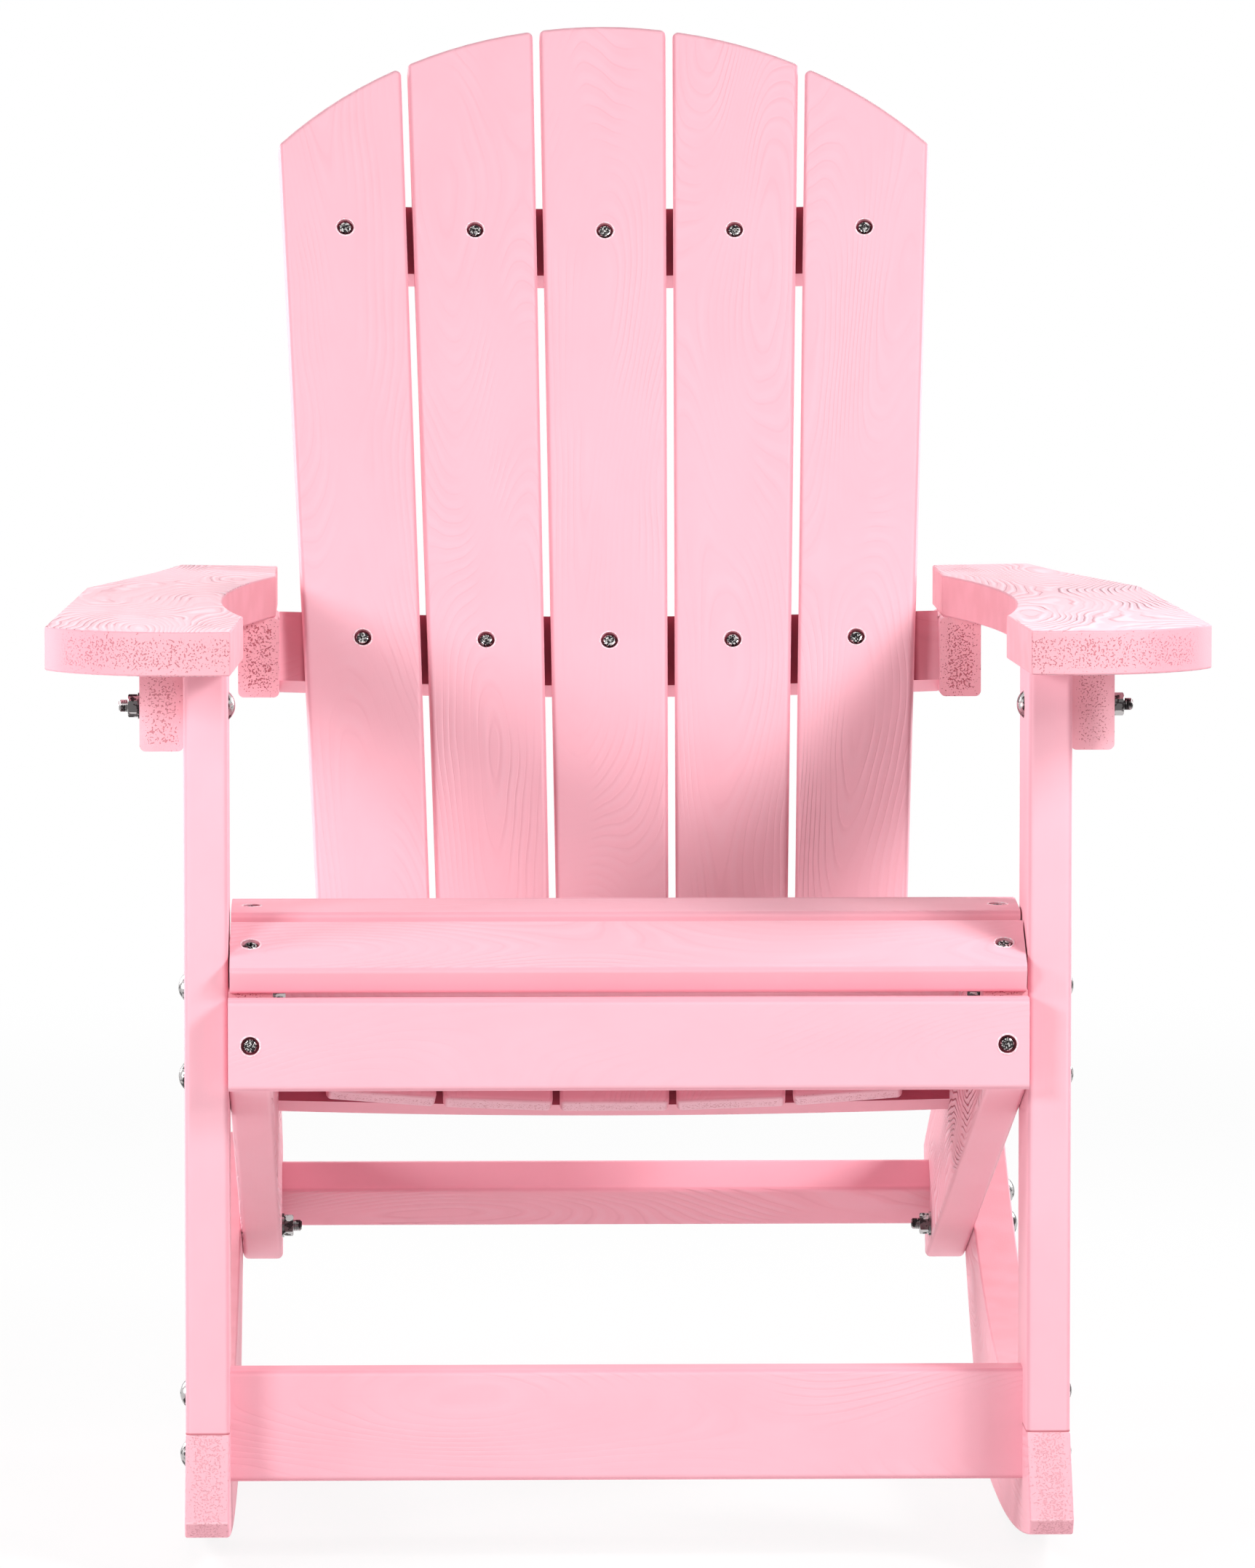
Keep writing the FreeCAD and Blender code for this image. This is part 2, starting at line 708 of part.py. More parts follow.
def rockers():
    front = "(rocker_rest_back - rocker_flat / 2)"
    rear = "(rocker_rest_back + rocker_flat / 2)"
    toe, heel, tail = "(-rocker_toe)", "(rocker_bevel - rocker_toe)", "rocker_tail_back"
    front_arc = (front, "0", "rocker_front_radius")
    rear_arc = (rear, "0", "rocker_rear_radius")
    top_arc = ("rocker_top_flat", "rocker_height", "rocker_top_radius")
    for name, side in SIDES.items():
        label = "rocker_" + name
        body = side_board(label, [
            (toe, arc_point(*front_arc, toe)[1] + " + rocker_bevel"),
            arc_point(*front_arc, heel),
            (front, "0") + arc_point(*front_arc, "((%s + %s) / 2)" % (front, heel)),
            (rear, "0"),
            arc_point(*rear_arc, tail) + arc_point(*rear_arc, "((%s + %s) / 2)" % (rear, tail)),
            arc_point(*top_arc, tail),
            ("rocker_top_flat", "rocker_height")
            + arc_point(*top_arc, "((rocker_top_flat + %s) / 2)" % tail),
            ("0", "rocker_height"),
        ], left_face(side, INNER))
        round_edges(body, "cut_edge_round", every_edge)
        drilled(body, label, WELLS)


def stringers():
    fall = "stringer_front_bottom - stringer_length * tan(stringer_slope)"
    corners = [("0", "stringer_front_bottom"),
               ("stringer_length", fall),
               ("stringer_length + stringer_end_height * sin(stringer_slope)",
                fall + " + stringer_end_height * cos(stringer_slope)")]
    corners += [(y, z) for y, z, tilt in reversed(FACETS)]
    for name, side in SIDES.items():
        label = "seat_stringer_" + name
        body = side_board(label, corners, left_face(side, STRINGER_INNER))
        round_edges(body, "edge_round", stringer_edge)
        drilled(body, label, WELLS)


def stringer_edge(edge):
    """The long edges of the underside and the rear end, which show under the seat."""
    if not square_to(X_AXIS)(edge):
        return False
    ends = edge.discretize(2)
    low = value("stringer_front_bottom")
    return all(point.z < low + 1 for point in ends)


def arms():
    for name, side in SIDES.items():
        label = "arm_" + name
        corners = [
            (INNER + " - arm_palm_inset", "arm_inner_corner - arm_reach",
             OUTER + " - arm_nose_inset", "-arm_reach"),
            (INNER + " - arm_waist_inset", "arm_waist_back"),
            (STRINGER_INNER + " + arm_heel_out", "arm_heel_back",
             INNER + " + arm_notch_out", "arm_notch_back"),
            (STRINGER_INNER + " + arm_heel_out", "arm_end_back"),
            (OUTER + " + arm_end_out", "arm_end_back + arm_end_slant"),
            (OUTER + " + arm_hip_out", "arm_hip_back"),
            (OUTER + " + arm_elbow_out", "arm_elbow_back"),
            (OUTER + " + arm_overhang", "arm_outer_corner - arm_reach"),
        ]
        mirrored = [tuple("%d * (%s)" % (side, text) if index % 2 == 0 else text
                          for index, text in enumerate(corner)) for corner in corners]
        body = new_body(label + "_blank")
        profile = sketch_on(body, "XY_Plane", label + "_outline")
        outline(profile, mirrored)
        pad(body, profile, "board")
        place(body, "0", "0", ARM_UNDER)
        round_edges(body, "cut_edge_round", every_edge)
        drilled(body, label, WELLS)


def brackets():
    under = "(%s - bracket_height)" % ARM_UNDER
    for name, side in SIDES.items():
        for end, inner, back, length in (
                ("front", OUTER, "front_bracket_back", "front_bracket_length"),
                ("rear", STRINGER_INNER, "rear_bracket_back", "rear_bracket_length")):
            label = "arm_%s_bracket_%s" % (end, name)
            rear = "%s + %s" % (back, length)
            body = side_board(label, [(back, under), (rear, under), (rear, ARM_UNDER),
                                      (back, ARM_UNDER)], left_face(side, inner))
            round_edges(body, "edge_round", along(Y_AXIS))
            drilled(body, label, WELLS)


def seat_slats():
    for index, (y, z, tilt) in enumerate(FACETS[:-1]):
        label = "seat_slat_%d" % (index + 1)
        start = seat_slat_start(index)
        body = new_body(label + "_blank")
        profile = sketch_on(body, "YZ_Plane", label + "_section")
        outline(profile, [("0", "0"), ("seat_slat_width", "0"),
                          ("seat_slat_width", "slat_thickness"), ("0", "slat_thickness")])
        pad(body, profile, "seat_width - 2 * seat_end_clearance", middle=True)
        turn(body, X_AXIS, tilt)
        place(body, "0", "%s + (%s) * cos(%s)" % (y, start, tilt),
              "%s + (%s) * sin(%s)" % (z, start, tilt))
        round_edges(body, "edge_round", along(X_AXIS))
        drilled(body, label, WELLS)


def apron_and_stretchers():
    apron = cross_board("seat_apron", "-slat_thickness / 2", "apron_bottom + apron_height / 2",
                        "slat_thickness", "apron_height", INNER)
    drilled(apron, "seat_apron", WELLS)
    cross = placed(barrel_well(), BARRELS)
    front = cross_board("front_stretcher", FRONT_STRETCHER_MIDDLE, "rocker_height",
                        "board", "front_stretcher_height", INNER)
    drilled(front, "front_stretcher", WELLS + cross)
    rear = cross_board("rear_stretcher", "rear_stretcher_back", "rear_stretcher_up",
                       "rear_stretcher_width", "board", STRINGER_INNER, "rear_stretcher_tilt")
    drilled(rear, "rear_stretcher", WELLS + cross)


def back_slats():
    for number, position in enumerate(SLAT_PLACES, start=1):
        label = "back_slat_%d" % number
        body = new_body(label + "_blank")
        profile = sketch_on(body, "XZ_Plane", label + "_outline")
        foot, head = "(%s / 2)" % SLAT_FOOT, "((%s + slat_spread) / 2)" % SLAT_FOOT
        rise = "(%d * %s + %s) ^ 2 / foot_arc_radius / 2"
        outline(profile, [
            (foot, rise % (position, SLAT_PITCH, foot)),
            (head, "back_length"),
            ("-" + head, "back_length"),
            ("-" + foot, rise % (position, SLAT_PITCH, "-" + foot)),
        ])
        pad(body, profile, "slat_thickness", backwards=True)
        fan = math.degrees(position * slat_turn()) * math.sin(cone_angle())
        aside = "(%s + back_length - crown_radius) * sin(%.9f)" % (FAN_LENGTH, -fan)
        centre = "(%s + back_length - crown_radius) * cos(%.9f) - %s" % (
            FAN_LENGTH, fan, FAN_LENGTH)
        above = sketch_on(body, "XZ_Plane", label + "_crown")
        out, top = "2 * crown_radius", "%s + 2 * crown_radius" % centre
        outline(above, [
            (aside + " + crown_radius", centre, aside, centre + " + crown_radius"),
            ("%s + %s" % (aside, out), centre),
            ("%s + %s" % (aside, out), top),
            ("%s - %s" % (aside, out), top),
            ("%s - %s" % (aside, out), centre),
            (aside + " - crown_radius", centre),
        ])
        crown = body.newObject("PartDesign::Pocket", label + "_crown_cut")
        crown.Profile = above
        crown.setExpression("Length", bound("slat_thickness"))
        body.Placement = slat_frame(position)
        round_edges(body, "edge_round", every_edge)
        drilled(body, label, WELLS)


def seat_of_slats():
    """All the space in front of the slats' rear faces, which the rails are cut back to."""
    fronts = []
    for position in SLAT_PLACES:
        box = doc.addObject("Part::Box", "slat_front_space")
        box.Length = 2 * REACH
        box.Height = 2 * REACH
        box.setExpression("Width", bound("slat_thickness + %s" % REACH))
        corner = FreeCAD.Placement(FreeCAD.Vector(-REACH, -REACH, -REACH), FreeCAD.Rotation())
        box.Placement = slat_frame(position).multiply(corner)
        fronts.append(box)
    common = doc.addObject("Part::MultiCommon", "slat_seats")
    common.Shapes = fronts
    return common


def back_rails():
    seats = seat_of_slats()
    for label, up, half in (("back_rail_top", TOP_RAIL_UP, "top_rail_length / 2"),
                            ("back_rail_middle", "middle_rail_up", STRINGER_INNER),
                            ("back_rail_lower", "lower_rail_up", STRINGER_INNER)):
        body = new_body(label + "_blank")
        plan = sketch_on(body, "XY_Plane", label + "_plan")
        rear = "(slat_thickness + rail_thickness)"
        radius = "(back_curve_radius * (%s + %s + rail_height / 2) / %s + %s)" % (
            FAN_LENGTH, up, FAN_LENGTH, rear)
        end = "%s - %s + sqrt(%s ^ 2 - (%s) ^ 2)" % (rear, radius, radius, half)
        outline(plan, [
            (half, "-slat_thickness"),
            (half, end),
            ("-(%s)" % half, end, "0", rear),
            ("-(%s)" % half, "-slat_thickness"),
        ])
        pad(body, plan, "rail_height")
        lift = FreeCAD.Placement(vector("0", "0", up), FreeCAD.Rotation())
        body.Placement = middle_slat_frame().multiply(lift)
        cut = doc.addObject("Part::Cut", label + "_seated")
        cut.Base = body
        cut.Tool = seats
        drilled(cut, label, WELLS)


def fasteners():
    for label, (length, spots) in SCREWS.items():
        group(label, screw(label + "_blank", length), spots)
    for label, (length, spots) in BOLTS.items():
        group(label, bolt(label + "_blank", length), spots)
    hexagon, ring, cross = nut(), washer(), barrel()
    for name in ("arm", "stringer", "rocker"):
        bolts = BOLTS[name + "_bolts"][1]
        group(name + "_bolt_washers", ring, nut_places(bolts, "0"))
        group(name + "_bolt_nuts", hexagon, nut_places(bolts, "washer_thickness"))
    group("barrel_nuts", cross, BARRELS)


def check():
    for thing in doc.Objects:
        if "Invalid" in thing.State or "Error" in thing.State:
            raise RuntimeError("%s is in state %s" % (thing.Name, thing.State))
    for thing in nodes:
        if thing.Shape.isNull() or not thing.Shape.isValid():
            raise RuntimeError("%s has no valid shape" % thing.Label)
        if not thing.Shape.Solids:
            raise RuntimeError("%s has no solid" % thing.Label)


def centre_of_mass():
    """The balance point, with the metal fasteners weighed as steel and the boards as plastic."""
    total = 0
    middle = FreeCAD.Vector()
    for thing in nodes:
        density = 7.5 if re.search("screws|bolt|nuts", thing.Label) else 1.0
        for solid in thing.Shape.Solids:
            total += solid.Volume * density
            middle += solid.CenterOfMass * solid.Volume * density
    return middle / total


legs()
rockers()
stringers()
arms()
brackets()
seat_slats()
apron_and_stretchers()
back_slats()
back_rails()
fasteners()
doc.recompute()
check()
os.makedirs("parts", exist_ok=True)
for thing in nodes:
    thing.Shape.exportStep("parts/%s.step" % thing.Label)
print("%d nodes" % len(nodes))
print("centre of mass", centre_of_mass(), "leg front plane at Y =", value(SHIFT))
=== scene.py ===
import math

import bpy
from mathutils import Matrix, Vector


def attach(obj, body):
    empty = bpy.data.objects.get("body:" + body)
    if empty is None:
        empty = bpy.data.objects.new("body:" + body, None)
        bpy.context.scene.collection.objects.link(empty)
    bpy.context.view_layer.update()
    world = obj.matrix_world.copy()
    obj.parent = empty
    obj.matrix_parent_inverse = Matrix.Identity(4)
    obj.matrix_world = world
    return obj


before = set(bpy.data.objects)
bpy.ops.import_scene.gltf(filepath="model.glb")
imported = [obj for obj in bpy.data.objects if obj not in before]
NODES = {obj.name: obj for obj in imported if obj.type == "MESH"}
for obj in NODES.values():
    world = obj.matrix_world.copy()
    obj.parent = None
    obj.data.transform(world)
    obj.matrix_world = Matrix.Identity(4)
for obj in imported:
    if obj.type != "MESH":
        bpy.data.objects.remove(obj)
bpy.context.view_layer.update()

MM = 0.001
PER_MM = (1 / MM, 1 / MM, 1 / MM)
ACROSS, BACK, UP = (1, 0, 0), (0, 1, 0), (0, 0, 1)


# Colours

def srgb(red, green, blue):
    """A linear colour from 0 to 255 screen values."""
    def linear(level):
        level /= 255
        return level / 12.92 if level <= 0.04045 else ((level + 0.055) / 1.055) ** 2.4
    return (linear(red), linear(green), linear(blue), 1)


SKIN = srgb(251, 189, 202)
SKIN_DEEP = srgb(250, 186, 199)
LINE = srgb(214, 132, 150)
# Painted highlight: the near-white sheen that light gives the grain's raised crests.
CREST_PAINTED_SHEEN = srgb(255, 222, 233)
SAWN = srgb(236, 167, 178)
SAWN_LIGHT = srgb(247, 179, 190)
# On the rockers' toes the lighter sawn colour is partly their own tone and partly painted light
# for the light from below; the front brackets' ends have it too.
SAWN_LIGHTER = srgb(254, 197, 207)
# Painted light on the back slats' sawn lower ends, which stand under the seat.
SAWN_PAINTED_LIGHT = srgb(255, 222, 230)
PIT = srgb(178, 72, 84)
# Painted shade for the rails' faces under the slats.
SHADED = srgb(190, 96, 116)
# Painted shade for the floors of the screws' wells.
WELL_SHADE = srgb(120, 48, 62)
# Painted highlight for the lips round the screws' wells.
RIM_HIGHLIGHT = srgb(255, 232, 238)
BRIGHT_STEEL = (0.80, 0.78, 0.77, 1)
STEEL = (0.50, 0.48, 0.48, 1)
DARK_STEEL = (0.035, 0.030, 0.032, 1)
FLOOR_PAINT = (0.86, 0.86, 0.86, 1)
WHITE = (1, 1, 1, 1)


# Small helpers for shader nodes

class Tree:
    """Adds nodes to a node tree and joins them, one call to a node."""

    def __init__(self, tree):
        self.tree = tree

    def put(self, socket, source):
        """Joins an input to another node's output, or sets its value."""
        if isinstance(source, bpy.types.NodeSocket):
            self.tree.links.new(source, socket)
        else:
            socket.default_value = source

    def add(self, kind, inputs=None, **settings):
        node = self.tree.nodes.new(kind)
        for name, setting in settings.items():
            setattr(node, name, setting)
        for name, source in (inputs or {}).items():
            self.put(node.inputs[name], source)
        return node

    def math(self, operation, *sources, clamp=False):
        node = self.add("ShaderNodeMath", dict(enumerate(sources)), operation=operation)
        node.use_clamp = clamp
        return node.outputs[0]

    def plus(self, first, second):
        return self.math("ADD", first, second)

    def minus(self, first, second):
        return self.math("SUBTRACT", first, second)

    def times(self, first, *others):
        for other in others:
            first = self.math("MULTIPLY", first, other)
        return first

    def vector(self, operation, *sources):
        node = self.add("ShaderNodeVectorMath", dict(enumerate(sources)), operation=operation)
        return node.outputs[0]

    def parts(self, vector):
        return self.add("ShaderNodeSeparateXYZ", {0: vector}).outputs

    def noise(self, place, size, detail=2.0, roughness=0.5):
        """Soft noise whose blots have the given size along the place's three axes."""
        scaled = self.vector("MULTIPLY", place, tuple(1 / length for length in size))
        return self.add("ShaderNodeTexNoise", {
            "Vector": scaled, "Scale": 1.0, "Detail": detail,
            "Roughness": roughness}).outputs["Fac"]

    def ramp(self, source, low, high, bottom=0.0, top=1.0):
        """A smooth step from one value to another as the source goes from low to high."""
        return self.add("ShaderNodeMapRange", {
            "Value": source, "From Min": low, "From Max": high,
            "To Min": bottom, "To Max": top}, interpolation_type="SMOOTHSTEP").outputs[0]

    def mix(self, share, first, second):
        """The first colour, with the second in its place where the share is 1."""
        node = self.add("ShaderNodeMix", data_type="RGBA")
        for index, source in ((0, share), (6, first), (7, second)):
            self.put(node.inputs[index], source)
        return node.outputs[2]

    def bump(self, height):
        """A surface normal from a height in mm."""
        return self.add("ShaderNodeBump", {"Strength": 1.0, "Distance": MM,
                                           "Height": height}).outputs[0]


def new_material(name):
    """A material, the helper for its nodes and the inputs of its shader."""
    material = bpy.data.materials.new(name)
    material.use_nodes = True
    shader = material.node_tree.nodes["Principled BSDF"]
    return material, Tree(material.node_tree), shader.inputs


def dress(node, material):
    node.data.materials.clear()
    node.data.materials.append(material)


# Plastic lumber. A board's own axes run along it, across its wide face and through it.
# Every size is in mm, with those of the patterns given along the three axes. A ramp has
# two or four numbers: the values that it runs between and, where they aren't 0 and 1, what
# it gives before the first and after the second.

BOARD_INPUTS = (
    ("Place", "NodeSocketVector"), ("Facing", "NodeSocketVector"),
    ("Half", "NodeSocketVector"), ("Shaded", "NodeSocketVector"), ("Sawn", "NodeSocketColor"),
    *((name, "NodeSocketFloat") for name in (
        "Seed", "Grain", "Spacing", "Wave", "Contrast", "Sawn outline", "Pitting", "Pit share",
        "Pit reach", "Edge", "Seam", "Shaded half", "Well shade")))
BOARD_OUTPUTS = (("Colour", "NodeSocketColor"), ("Roughness", "NodeSocketFloat"),
                 ("Normal", "NodeSocketVector"))
SEED_STEP = (317.0, 173.0, 91.0)

# Embossed grain
PITH_SIZE, PITH_DETAIL, PITH_ROUGHNESS = (420, 120, 120), 0.6, 0.4
PITH_LEVEL, PITH_DEPTH = 0.3, 300.0
WAVE_SIZE, WAVE_DETAIL, WAVE_ROUGHNESS = (70, 24, 24), 1.0, 0.45
CREST_RISE, CREST_FALL = (0.06, 0.3), (0.34, 0.94, 1.0, 0.0)
LINE_BEHIND, LINE_AHEAD = (0.0, 0.14, 1.0, 0.0), (0.9, 1.0)
CREST_HEIGHT, LINE_DEPTH, FIBRE_HEIGHT = 0.2, 0.16, 0.035
PATCH_SIZE, PATCH_SHIFT, PATCH_DETAIL = (120, 34, 34), (40.0, 900.0, 7.0), 1.0
PATCH_STRENGTH = (0.4, 0.62, 0.12, 1.0)
FIBRE_SIZE, FIBRE_ROUGHNESS = (60, 1.2, 1.2), 0.6

# How squarely a surface faces each way before something shows on it
ON_WIDE_FACE = (0.6, 0.92)
ON_END = (0.6, 0.8)
ON_OUTLINE = (0.35, 0.55, 1.0, 0.0)
# A sawn end's own colour, which is painted light on the back slats and the rockers, reaches faces
# that turn partly away from the end, such as a rocker's toe band.
ON_PITTED_END, ON_COLOURED_END = (0.55, 0.68), (0.3, 0.5)
ON_EDGE = (0.8, 0.97, 1.0, 0.0)
ON_SHADED_SIDE, SHADED_BORDER = (0.55, 0.9), (-2.0, 3.0)
ON_WELL_FLOOR, WELL_DEPTH = (0.8, 0.95), (0.8, 1.6)

# Sawn faces. NO_SIDES keeps a shaped board's core open to its outline.
PIT_SIZE, PIT_DETAIL, PIT_RIM, PIT_DEPTH = 1.25, 1.0, (0.0, 0.05), 0.3
CLUMP_SIZE, CLUMP_DETAIL, CLUMP_WEIGHT = 1 / 0.045, 1.0, 0.13
CORE_DEPTH, CORE_WEIGHT = (3.0, 7.0), 0.11
REACH_FADE = (0.0, 15.0, 1.0, 0.0)
NO_SIDES = 400.0
GRIT_SIZE, GRIT_HEIGHT = 1 / 0.9, 0.14

# Colour and sheen
CLOUD_SIZE, CLOUD_DETAIL, CLOUD_ROUGHNESS, CLOUD_RAMP = (90, 50, 50), 3.0, 0.6, (0.35, 0.7)
GRAIN_COLOUR, CREST_SHEEN_RAMP = 0.6, (0.5, 0.95)
SAWN_BLOTS = (0.3, 0.75, 0.0, 0.4)
# The width of the painted shade in the seam round a board's first end.
SEAM_SHADE_WIDTH = (0.7, 1.6, 1.0, 0.0)
BOARD_ROUGHNESS, SAWN_ROUGHNESS, FIBRE_SHEEN = 0.46, 0.22, 0.1
BOARD_SPECULAR = 0.35


def growth_rings(t, given, moved, across, wide_face):
    """Embossed growth rings, as contours of the distance from a pith that wanders below the
    face: their raised crests, their sunk lines and how strongly they show."""
    pith = t.noise(moved, PITH_SIZE, PITH_DETAIL, PITH_ROUGHNESS)
    wave = t.noise(moved, WAVE_SIZE, WAVE_DETAIL, WAVE_ROUGHNESS)
    below = t.times(t.minus(pith, PITH_LEVEL), PITH_DEPTH)
    aside = t.plus(across, t.math("SINE", given["Seed"]))
    reach = t.math("SQRT", t.plus(t.times(aside, aside), t.times(below, below)))
    rings = t.plus(t.math("DIVIDE", reach, given["Spacing"]), t.times(wave, given["Wave"]))
    phase = t.math("FRACT", rings)
    crest = t.times(t.ramp(phase, *CREST_RISE), t.ramp(phase, *CREST_FALL))
    line = t.plus(t.ramp(phase, *LINE_BEHIND), t.ramp(phase, *LINE_AHEAD))
    patch = t.noise(t.vector("ADD", moved, PATCH_SHIFT), PATCH_SIZE, PATCH_DETAIL)
    strength = t.times(t.ramp(patch, *PATCH_STRENGTH), wide_face, given["Grain"])
    return crest, line, strength


def sawn_pits(t, given, moved, clump, inside, near_end, end_on):
    """The pits of a board's foamed core, where an end that is sawn off squarely shows it."""
    core = t.ramp(inside, *CORE_DEPTH)
    coarse = t.noise(moved, (PIT_SIZE,) * 3, PIT_DETAIL)
    wanted = t.plus(t.times(core, CORE_WEIGHT), t.times(clump, CLUMP_WEIGHT))
    level = t.minus(given["Pitting"], wanted)
    return t.times(t.ramp(t.minus(coarse, level), *PIT_RIM),
                   t.times(near_end, t.ramp(end_on, *ON_PITTED_END)))


def lumber_group():
    """The board material as a group. Its place, its half size and the way that the surface
    faces are in the board's own axes."""
    group = bpy.data.node_groups.new("lumber", "ShaderNodeTree")
    for way, sockets in (("INPUT", BOARD_INPUTS), ("OUTPUT", BOARD_OUTPUTS)):
        for name, kind in sockets:
            group.interface.new_socket(name, in_out=way, socket_type=kind)
    t = Tree(group)
    given = t.add("NodeGroupInput").outputs
    shift = t.add("ShaderNodeVectorMath", {0: SEED_STEP, "Scale": given["Seed"]},
                  operation="SCALE").outputs[0]
    moved = t.vector("ADD", given["Place"], shift)
    along, across, through = t.parts(given["Place"])
    half = t.parts(given["Half"])
    end_on, side_on, wide_on = t.parts(t.vector("ABSOLUTE", given["Facing"]))
    past_end = t.plus(along, half[0])
    depth = t.minus(half[2], t.math("ABSOLUTE", through))
    inset = t.minus(half[1], t.math("ABSOLUTE", across))
    inset = t.plus(inset, t.times(given["Sawn outline"], NO_SIDES))
    near_end = t.ramp(t.minus(past_end, given["Pit reach"]), *REACH_FADE)

    # Patterns
    crest, line, strength = growth_rings(t, given, moved, across,
                                         t.ramp(wide_on, *ON_WIDE_FACE))
    fibre = t.noise(moved, FIBRE_SIZE, roughness=FIBRE_ROUGHNESS)
    clump = t.noise(moved, (CLUMP_SIZE,) * 3, CLUMP_DETAIL)
    pit = sawn_pits(t, given, moved, clump, t.math("MINIMUM", depth, inset), near_end, end_on)
    grit = t.noise(moved, (GRIT_SIZE,) * 3)
    cloud = t.noise(moved, CLOUD_SIZE, CLOUD_DETAIL, CLOUD_ROUGHNESS)
    outline = t.times(t.ramp(wide_on, *ON_OUTLINE), given["Sawn outline"])
    sawn = t.math("MAXIMUM", t.ramp(end_on, *ON_END), outline)

    # Height
    relief = t.minus(t.times(crest, CREST_HEIGHT), t.times(line, LINE_DEPTH))
    relief = t.plus(t.times(relief, strength), t.times(fibre, FIBRE_HEIGHT))
    height = t.plus(t.times(relief, t.minus(1.0, sawn)), t.times(grit, sawn, GRIT_HEIGHT))
    height = t.minus(height, t.times(pit, PIT_DEPTH))

    # Colour of the moulded skin and of the sawn faces
    skin = t.mix(t.ramp(cloud, *CLOUD_RAMP), SKIN, SKIN_DEEP)
    sure = t.times(t.math("MULTIPLY", strength, GRAIN_COLOUR, clamp=True), given["Contrast"])
    skin = t.mix(t.times(line, sure), skin, LINE)
    # Painted highlight: a near-white sheen on the grain's crests, as strong as the contrast says.
    skin = t.mix(t.times(t.ramp(crest, *CREST_SHEEN_RAMP), sure), skin, CREST_PAINTED_SHEEN)
    cut = t.mix(t.ramp(clump, *SAWN_BLOTS), SAWN, SKIN_DEEP)
    # The faces near a board's first end get its own sawn colour, which is painted light on the
    # back slats' lower ends and the rockers' toes.
    cut = t.mix(t.times(near_end, t.ramp(end_on, *ON_COLOURED_END)), cut, given["Sawn"])
    colour = t.mix(sawn, skin, cut)
    colour = t.mix(t.times(pit, given["Pit share"]), colour, PIT)

    # Darker edges, and painted shade in the seam, on the rails' faces under the slats and on the
    # floors of the screws' wells
    flat = t.math("MAXIMUM", wide_on, t.math("MAXIMUM", end_on, side_on))
    colour = t.mix(t.times(t.ramp(flat, *ON_EDGE), given["Edge"]), colour, LINE)
    # Painted shade in the seam round a board's first end.
    colour = t.mix(t.times(t.ramp(past_end, *SEAM_SHADE_WIDTH), given["Seam"]), colour, PIT)
    # Painted shade on the rails' faces under the slats.
    toward = t.add("ShaderNodeVectorMath", {0: given["Facing"], 1: given["Shaded"]},
                   operation="DOT_PRODUCT").outputs["Value"]
    covered = t.ramp(t.minus(given["Shaded half"], t.math("ABSOLUTE", along)), *SHADED_BORDER)
    colour = t.mix(t.times(t.ramp(toward, *ON_SHADED_SIDE), covered), colour, SHADED)
    # Painted shade on the floors of the screws' wells.
    floor_shade = t.times(t.ramp(wide_on, *ON_WELL_FLOOR), t.ramp(depth, *WELL_DEPTH))
    colour = t.mix(t.times(floor_shade, given["Well shade"]), colour, WELL_SHADE)

    rough = t.plus(t.times(sawn, SAWN_ROUGHNESS), t.times(fibre, FIBRE_SHEEN))
    t.add("NodeGroupOutput", {"Colour": colour, "Roughness": t.plus(rough, BOARD_ROUGHNESS),
                              "Normal": t.bump(height)})
    return group


LUMBER = lumber_group()


def board_axes(node, hint):
    """A board's own axes as a matrix, its middle and its half size, read from its widest
    flat face and from a hint of the way that it runs."""
    mesh = node.data
    widest = max(mesh.polygons, key=lambda face: face.area)
    through = widest.normal.normalized()
    along = (hint - hint.dot(through) * through).normalized()
    across = through.cross(along)
    turned = Matrix((along, across, through))
    points = [turned @ vertex.co for vertex in mesh.vertices]
    low = Vector([min(point[i] for point in points) for i in range(3)])
    high = Vector([max(point[i] for point in points) for i in range(3)])
    return turned, (low + high) / 2, (high - low) / 2


# What a board has unless it says otherwise: the depth of its grain, the rings' spacing and
# waviness, the strength of the grain's colour and of the painted highlight on its crests, how
# little of a sawn end is pitted, how dark the pits are and how far from the board's first end
# they go, how dark its edges are, how dark the painted shade of the seam at its first end is,
# half the length that other boards cover, which gets painted shade on a rail, and whether
# the floors of its screws' wells get painted shade.
PLAIN_BOARD = {
    "Grain": 1.0, "Spacing": 5.0, "Wave": 1.6, "Contrast": 0.2, "Sawn": SAWN,
    "Sawn outline": 0.0, "Pitting": 0.755, "Pit share": 0.8, "Pit reach": 10000.0,
    "Edge": 0.3, "Seam": 0.0, "Shaded half": -100.0, "Well shade": 1.0}
FINE_GRAIN = {"Spacing": 4.6, "Wave": 1.2}
# A back slat's sawn lower end gets painted light.
BACK_SLAT = {**FINE_GRAIN, "Grain": 0.75, "Contrast": 0.15, "Pit share": 0.4,
             "Pit reach": 100.0, "Sawn": SAWN_PAINTED_LIGHT}
SEAT_SLAT = {**FINE_GRAIN, "Grain": 0.9}
BACK_RAIL = {"Grain": 0.8, "Well shade": 0.0}
APRON = {**FINE_GRAIN, "Grain": 0.2}
FRONT_STRETCHER = {**FINE_GRAIN, "Grain": 0.4}
REAR_STRETCHER = {**FINE_GRAIN, "Grain": 1.2}
# A leg gets painted shade in the seam round its lower end, where it meets the rocker.
LEG = {"Grain": 0.25, "Seam": 0.7}
STRINGER = {"Grain": 5.0, "Spacing": 6.5, "Wave": 3.0, "Contrast": 0.45}
